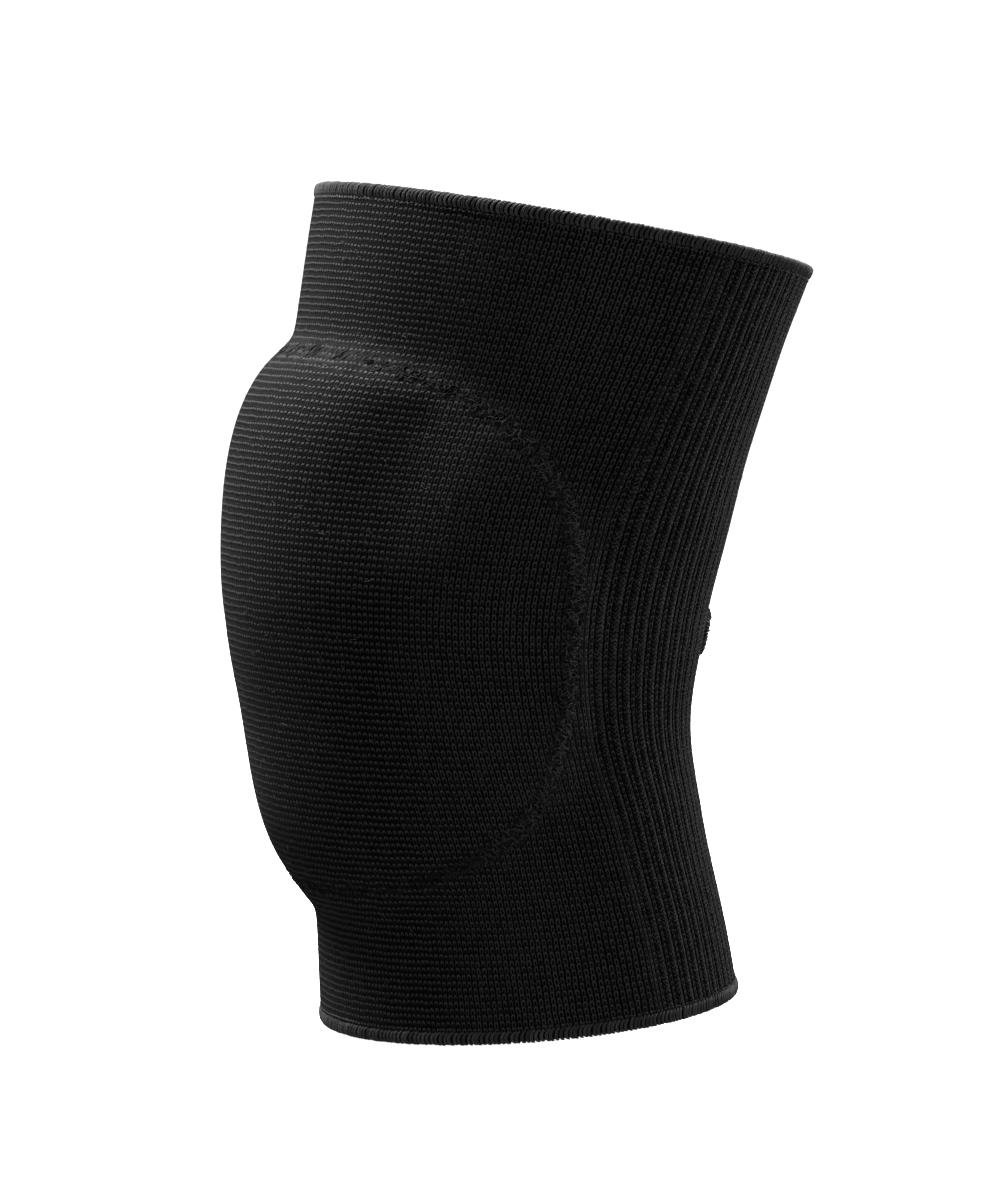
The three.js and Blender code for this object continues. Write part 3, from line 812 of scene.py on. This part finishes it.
hem_top = TUBE_HEIGHT / 2
build_rim("top_rim_wraps", "top_hem", cloth_top + CLEARANCE, hem_top, TOP_STITCHES)
build_rim("bottom_rim_wraps", "bottom_hem", -hem_top, -cloth_top - CLEARANCE, BOTTOM_STITCHES)

# %% [markdown]
# Just inside each rim, the needle thread of the overlock shows as a row of short pale dashes.

# %% Needle stitches inside the rims
def needle_stitches(name, height, count):
    """A row of short threads lying on the cloth, each a small arc that dips in at both ends."""
    t = np.linspace(-1, 1, 5)
    spacing = 2 * np.pi / count
    start = (np.arange(count) + rng.uniform(-0.12, 0.12, count))[:, None] * spacing
    turn = start + spacing * rng.uniform(0.08, 0.15, (count, 1)) * t
    level = height + rng.uniform(-0.12, 0.12, (count, 1)) + 0.1 * t
    arc = cloth_point(turn, level, 0.12 - 0.35 * t**2)
    points, faces = threads(arc, rng.uniform(0.14, 0.21, (count, 1)), THREAD_SIDES, False)
    tone = np.repeat(rng.uniform(0.3, 1, count), t.size * THREAD_SIDES)
    row = add_piece(name, points, faces, pale_thread, tone=tone)
    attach(row, "root")


needle_stitches("top_rim_needle_thread", cloth_top, TOP_STITCHES)
needle_stitches("bottom_rim_needle_thread", -cloth_top, BOTTOM_STITCHES)

# %% [markdown]
# ## Loose fibres
#
# Worn knit sheds fine fibres that catch the light. Each is a short bent hair, a few hundredths
# of a millimetre thick, that lies at random on the cloth.

# %% Fibres on the cloth
FIBRES, FIBRE_SIDES = 2400, 3
FIBRE_REACH = 105  # mm above and below the middle, short of the rims
t = np.linspace(0, 1, 5)
hair_turn = rng.uniform(-np.pi, np.pi, FIBRES)
hair_height = rng.uniform(-FIBRE_REACH, FIBRE_REACH, FIBRES)
# none within an oval round the opening, 1.6 times as wide as it is high
beside_hole = from_front(hair_turn - np.pi) * KNEE_DEPTH / 2 / 1.6
clear = np.hypot(beside_hole, hair_height - HOLE_MIDDLE) > HOLE_WIDTH / 2
hair_turn, hair_height = hair_turn[clear, None], hair_height[clear, None]
heading = rng.uniform(0, 2 * np.pi, hair_turn.shape) + rng.normal(0, 0.9, hair_turn.shape) * t
reach = rng.uniform(0.8, 2.4, hair_turn.shape) * t
hair_lift = 0.08 + rng.uniform(0.05, 0.4, hair_turn.shape) * np.sin(np.pi * t)
hairs = cloth_point(hair_turn + reach * np.cos(heading) / (KNEE_WIDTH / 2),
                    hair_height + reach * np.sin(heading), hair_lift)
hair_radius = rng.uniform(0.025, 0.045, hair_turn.shape)
hair_points, hair_faces = threads(hairs, hair_radius, FIBRE_SIDES, False)
hair_tone = np.repeat(rng.uniform(0.2, 1, len(hair_turn)), t.size * FIBRE_SIDES)
fibres = add_piece("loose_fibres", hair_points, hair_faces, pale_thread, tone=hair_tone)
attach(fibres, "root")

# %% [markdown]
# ## The edge of the opening behind the knee
#
# The oval opening lets the skin fold behind the knee. Its edge is overlocked like the rims, so
# the same kind of wraps goes round a core that follows the oval.

# %% Edge of the opening
def hole_place(step, across):
    """Turn and height of a point beside the oval, across millimetres outside its middle line."""
    radius = KNEE_DEPTH / 2
    def line(s):
        return rounded_outline(s, 1, np.pi, (HOLE_WIDTH - HOLE_RIM) / 2 / radius, HOLE_MIDDLE,
                               (HOLE_HEIGHT - HOLE_RIM) / 2, 2.2)
    (turn_0, height_0), (turn_1, height_1) = line(step - 0.02), line(step + 0.02)
    run, climb = (turn_1 - turn_0) * radius, height_1 - height_0
    length = np.hypot(run, climb)
    turn, height = line(step)
    return turn + climb / length * across / radius, height - run / length * across


EDGE_WRAPS, EDGE_STEPS, EDGE_POINTS = 118, 120, 12
BACK_RADIUS = 60  # mm round the back of the knee, to measure the run along the oval
fine = np.linspace(0, 2 * np.pi, 2001)
line_turn, line_height = hole_place(fine, 0)
run = np.hypot(np.diff(line_turn) * BACK_RADIUS, np.diff(line_height))
run = np.concatenate([[0], np.cumsum(run)])
wrap_run = (np.arange(EDGE_WRAPS) + rng.uniform(-0.25, 0.25, EDGE_WRAPS)) / EDGE_WRAPS * run[-1]
wrap_step = np.interp(wrap_run, run, fine)[:, None]
angle = np.linspace(0, 2 * np.pi, EDGE_POINTS, endpoint=False)
core_step = np.interp(np.arange(EDGE_STEPS) / EDGE_STEPS * run[-1], run, fine)[:, None]
core_turn, core_height = hole_place(core_step, 0.9 * np.cos(angle))
core = cloth_point(core_turn, core_height, -0.55 + 1.2 * np.sin(angle) + 0 * core_step)
core_faces = [f[::-1] for f in grid_faces(EDGE_STEPS, EDGE_POINTS, wrap_rows=True)]
wrap_size = rng.uniform(0.9, 1.15, (EDGE_WRAPS, 1))
loop_across = 1.2 * wrap_size * np.cos(angle)
loop_turn, loop_height = hole_place(wrap_step + 0.012 * np.sin(angle), loop_across)
loops = cloth_point(loop_turn, loop_height, -0.4 + 1.6 * wrap_size * np.sin(angle))
wrap_radius = rng.uniform(0.38, 0.5, (EDGE_WRAPS, 1))
loop_points, loop_faces = threads(loops, wrap_radius, THREAD_SIDES, True, start=core.size // 3)
tone = np.repeat(rng.uniform(0.4, 0.8, EDGE_WRAPS), EDGE_POINTS * THREAD_SIDES)
# painted shade: the core takes the darkest tone, so the gaps between the wraps look shaded
tone = np.concatenate([np.zeros(core.size // 3), tone])
hole_edge = add_piece("opening_edge_wraps", np.concatenate([core.reshape(-1, 3), loop_points]),
                      core_faces + loop_faces, overlock, tone=tone)
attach(hole_edge, "root")
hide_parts("knee_hole_edge")

# %% [markdown]
# ## Floor, backdrop and light
#
# The photograph is a studio shot on white, lit softly from the front of the pad, with a weaker
# light that rims the back. A round floor that curves up into a wall keeps the horizon out of
# sight from every side. It shines by itself and takes no part in lighting the pad.

# %% Floor and backdrop
def paper_material():
    """White background paper, lit evenly enough that it photographs as near white."""
    material, tree, output = new_material("white_background_paper")
    place = node(tree, "TexCoord").outputs["Object"]
    grain = node(tree, "TexNoise", {"Vector": place, "Scale": 40.0, "Detail": 2.0})
    colour = node(tree, "Mix", {0: grain, 6: linear("fdfdfd"), 7: linear("ffffff")},
                  data_type="RGBA")
    shader = node(tree, "BsdfPrincipled", {"Base Color": colour.outputs["Result"],
                                           "Roughness": 0.9, "Emission Strength": 1.0,
                                           "Emission Color": colour.outputs["Result"]})
    tree.links.new(shader.outputs[0], output.inputs["Surface"])
    return material


FLOOR_Z = cad_box[0][2] / MM - 1
MIDDLE_RADIUS, FLOOR_RADIUS, BEND_RADIUS, WALL_TOP = 100, 3000, 700, 4500
PAPER_SIDES = 64
bend = np.linspace(0, np.pi / 2, 12)
paper_radius = np.concatenate([[MIDDLE_RADIUS], FLOOR_RADIUS + BEND_RADIUS * np.sin(bend),
                               [FLOOR_RADIUS + BEND_RADIUS]])[:, None]
paper_height = np.concatenate([[0], BEND_RADIUS * (1 - np.cos(bend)), [WALL_TOP]])[:, None]
paper_height = FLOOR_Z + paper_height
paper_turn = np.linspace(0, 2 * np.pi, PAPER_SIDES, endpoint=False)
paper = np.stack(np.broadcast_arrays(paper_radius * np.cos(paper_turn),
                                     paper_radius * np.sin(paper_turn), paper_height), -1)
paper_faces = [f[::-1] for f in grid_faces(len(paper_radius), PAPER_SIDES)]
paper_faces.append(list(range(PAPER_SIDES)))
backdrop = add_piece("paper_backdrop", paper, paper_faces, paper_material())
backdrop.visible_diffuse = backdrop.visible_glossy = backdrop.visible_shadow = False


# %% Lights
def add_light(name, azimuth, elevation, distance, size, watts):
    """A square soft light that looks at the pad; azimuth 0 is in front of the cushion."""
    a, e = np.radians(azimuth), np.radians(elevation)
    place = distance * np.array([np.sin(a) * np.cos(e), -np.cos(a) * np.cos(e), np.sin(e)])
    data = bpy.data.lights.new(name, "AREA")
    data.size, data.energy = size, watts
    light = bpy.data.objects.new(name, data)
    light.location = place
    light.rotation_euler = (np.pi / 2 - e, 0, a)
    bpy.context.collection.objects.link(light)
    print(name, watts, "watts")


add_light("key_softbox", -54, 60, 1.3, 0.6, 71)
add_light("back_softbox", 190, 14, 1.3, 0.6, 18)
world = bpy.data.worlds.new("studio")
bpy.context.scene.world = world
world.use_nodes = True
world.node_tree.nodes["Background"].inputs["Color"].default_value = (1, 1, 1, 1)
world.node_tree.nodes["Background"].inputs["Strength"].default_value = 0.26
bpy.context.scene.view_settings.view_transform = "Standard"

# %% [markdown]
# ## Camera
#
# The photograph was taken from about 1.6 m with a long lens, a little above the knee and turned
# 27 degrees forward of a pure side view.

# %% Camera
ELEVATION, DISTANCE, FRAME_HEIGHT = np.radians(5.18), 1566, 347.4
view_azimuth = np.radians(63)
right = np.array([np.cos(view_azimuth), np.sin(view_azimuth), 0])
ahead = np.array([-np.sin(view_azimuth), np.cos(view_azimuth), 0])
view_ahead = ahead * np.cos(ELEVATION) - np.array([0, 0, np.sin(ELEVATION)])
view_up = np.cross(right, view_ahead)
# the camera aims at the middle of the pad, moved a little to match the photograph's framing
aim = np.array([0, 7.0, 0]) - 4.9 * right + 3.2 * view_up
camera_data = bpy.data.cameras.new("camera")
camera_data.sensor_width = 36
camera_data.lens = 36 * DISTANCE / FRAME_HEIGHT
camera = bpy.data.objects.new("camera", camera_data)
camera.location = (aim - view_ahead * DISTANCE) * MM
camera.rotation_euler = (np.pi / 2 - ELEVATION, 0, view_azimuth)
bpy.context.collection.objects.link(camera)
bpy.context.scene.camera = camera
print("lens:", round(camera_data.lens, 1), "mm")
